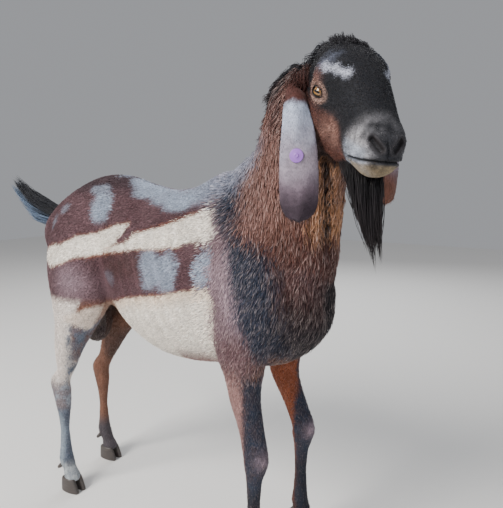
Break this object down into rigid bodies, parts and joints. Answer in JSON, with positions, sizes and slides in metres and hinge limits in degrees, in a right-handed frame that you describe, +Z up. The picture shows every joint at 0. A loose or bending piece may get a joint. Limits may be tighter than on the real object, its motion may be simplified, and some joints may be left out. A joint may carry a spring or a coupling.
{
  "type": "nubian goat",
  "caption": "Life-size standing nubian goat buck with long hanging ears, a convex face, a full beard and a raised tail, head turned to its right",
  "frame": {"origin": "on the floor under the middle of the animal's bounding box", "axes": "+X towards the chest, +Y towards the animal's left, +Z up"},
  "size_m": [1.3656, 0.503, 1.2254],
  "materials": {
    "coat": "short glossy goat hair, red-brown to mauve-grey roan with cream patches",
    "dark_coat": "black to blue-grey goat hair with pale flecks",
    "ear": "fine short hair, pale blue-grey fading to a dark tip",
    "eye": "wet amber iris with a dark slot pupil",
    "hoof": "grey-brown horn, worn and slightly ridged",
    "tag": "smooth lilac plastic"
  },
  "bodies": {
    "root": {"torso": "coat", "neck": "coat", "head": "dark_coat", "jaw": "dark_coat", "tail": "dark_coat", "eye_r": "eye", "eye_l": "eye", "ear_r": "ear", "ear_l": "ear", "ear_tag": "tag", "foreleg_r_upper": "coat", "foreleg_r_lower": "dark_coat", "foreleg_r_claw_right": "hoof", "foreleg_r_dewclaw_right": "hoof", "foreleg_r_claw_left": "hoof", "foreleg_r_dewclaw_left": "hoof", "foreleg_l_upper": "coat", "foreleg_l_lower": "dark_coat", "foreleg_l_claw_right": "hoof", "foreleg_l_dewclaw_right": "hoof", "foreleg_l_claw_left": "hoof", "foreleg_l_dewclaw_left": "hoof", "hindleg_r_upper": "coat", "hindleg_r_lower": "dark_coat", "hindleg_r_claw_right": "hoof", "hindleg_r_dewclaw_right": "hoof", "hindleg_r_claw_left": "hoof", "hindleg_r_dewclaw_left": "hoof", "hindleg_l_upper": "coat", "hindleg_l_lower": "dark_coat", "hindleg_l_claw_right": "hoof", "hindleg_l_dewclaw_right": "hoof", "hindleg_l_claw_left": "hoof", "hindleg_l_dewclaw_left": "hoof"}
  },
  "joints": []
}
